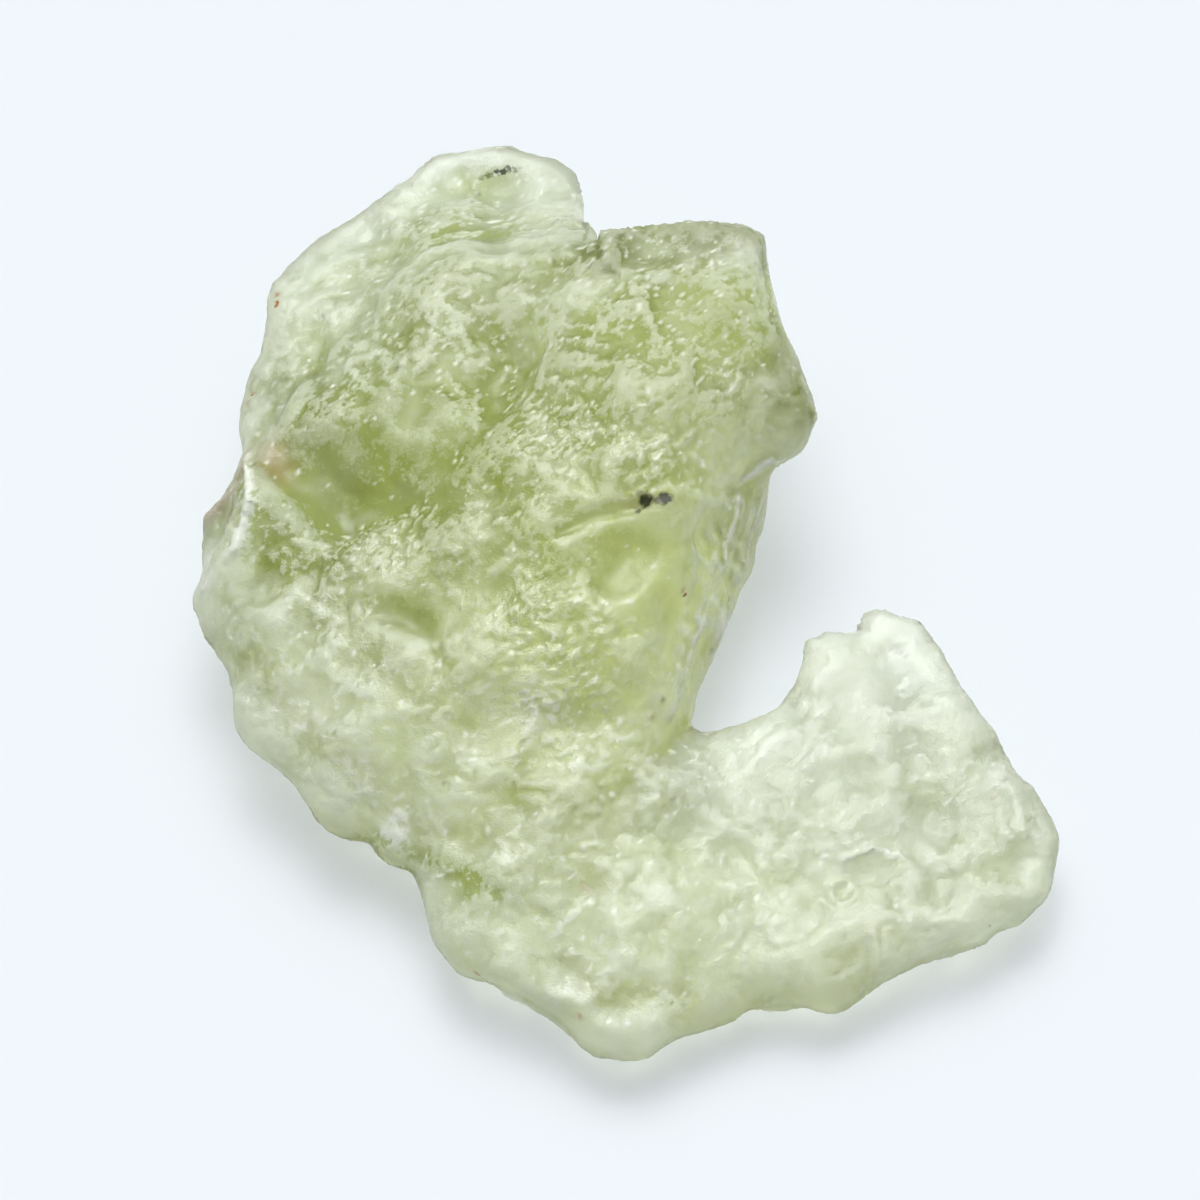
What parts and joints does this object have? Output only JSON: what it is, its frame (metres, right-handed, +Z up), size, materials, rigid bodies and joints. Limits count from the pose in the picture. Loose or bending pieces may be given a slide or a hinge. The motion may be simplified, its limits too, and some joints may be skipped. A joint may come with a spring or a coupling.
{
  "type": "libyan desert glass shard",
  "caption": "Weathered shard of pale yellow-green natural glass with a thick block, a thin flange and a thin side lobe around an open notch, resting on a small flat spot of its belly.",
  "frame": {"origin": "on the table, in the middle of the shard's bounding box, at the height of the flat spot that it rests on", "axes": "+Z up; +X to the side with the thin lobe; +Y to the side with the thin flange; the reference view looks along +Y and down by 60 degrees"},
  "size_m": [0.0425, 0.0488, 0.0138],
  "materials": {
    "glass": "see-through yellow-green glass with a wind-frosted, dimpled skin"
  },
  "bodies": {
    "root": {"desert_glass": "glass"}
  },
  "joints": []
}
